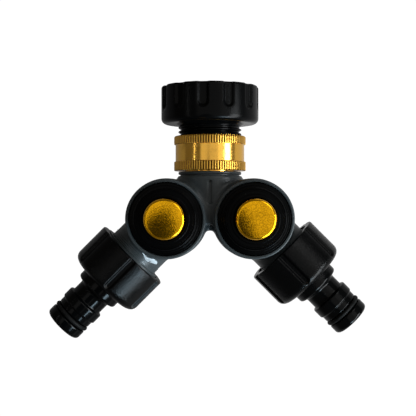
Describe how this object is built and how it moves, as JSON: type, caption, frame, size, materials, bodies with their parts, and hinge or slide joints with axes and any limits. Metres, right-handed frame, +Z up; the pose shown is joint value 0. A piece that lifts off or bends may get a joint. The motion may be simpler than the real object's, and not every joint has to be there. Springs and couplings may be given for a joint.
{
  "type": "hose splitter",
  "caption": "Forked garden hose splitter with a threaded tap adapter, brass swivel nut, push-button shut-off valves and quick-connect hose tails.",
  "frame": {"origin": "centre of the inlet collar's mouth, on the swivel axis", "axes": "+Z up out of the inlet towards the tap, +X to the right seen from the button side, -Y the way the buttons face"},
  "size_m": [0.1315, 0.0525, 0.1049],
  "materials": {
    "black_plastic": "moulded, glossy",
    "grey_plastic": "moulded, satin",
    "brass": "turned and polished",
    "gold_button": "satin, fine speckle",
    "white_plastic": "natural acetal",
    "steel": "drawn stainless",
    "rubber": "moulded"
  },
  "bodies": {
    "inlet": {"inlet_adapter": "black_plastic", "adapter_washer": "rubber", "swivel_nut": "brass", "nut_washer": "rubber"},
    "body": {"splitter_body": "grey_plastic", "swivel_tailpiece": "brass", "tailpiece_o_ring": "rubber", "left_bonnet": "black_plastic", "left_bonnet_o_ring": "rubber", "left_valve_seat": "brass", "left_latch_sleeve": "white_plastic", "left_return_spring": "steel", "left_hose_tail": "black_plastic", "left_tail_washer": "rubber", "left_tail_o_ring": "rubber", "right_bonnet": "black_plastic", "right_bonnet_o_ring": "rubber", "right_valve_seat": "brass", "right_latch_sleeve": "white_plastic", "right_return_spring": "steel", "right_hose_tail": "black_plastic", "right_tail_washer": "rubber", "right_tail_o_ring": "rubber"},
    "left_button": {"left_button_cap": "gold_button", "left_stem": "steel", "left_stem_o_ring": "rubber", "left_retaining_clip": "steel", "left_latch_rotor": "white_plastic", "left_plunger": "black_plastic", "left_plunger_seal": "rubber", "left_plunger_screw": "steel"},
    "right_button": {"right_button_cap": "gold_button", "right_stem": "steel", "right_stem_o_ring": "rubber", "right_retaining_clip": "steel", "right_latch_rotor": "white_plastic", "right_plunger": "black_plastic", "right_plunger_seal": "rubber", "right_plunger_screw": "steel"}
  },
  "joints": [
    {"name": "swivel", "type": "hinge", "parent": "inlet", "child": "body", "pos_m": [0, 0, -0.033], "axis": [0, 0, 1], "continuous": true},
    {"name": "left_button_press", "type": "slide", "parent": "body", "child": "left_button", "axis": [0, 1, 0], "range_m": [0, 0.005], "stiffness_N_per_m": 300, "deforming": ["left_return_spring"]},
    {"name": "right_button_press", "type": "slide", "parent": "body", "child": "right_button", "axis": [0, 1, 0], "range_m": [0, 0.005], "stiffness_N_per_m": 300, "deforming": ["right_return_spring"]}
  ]
}
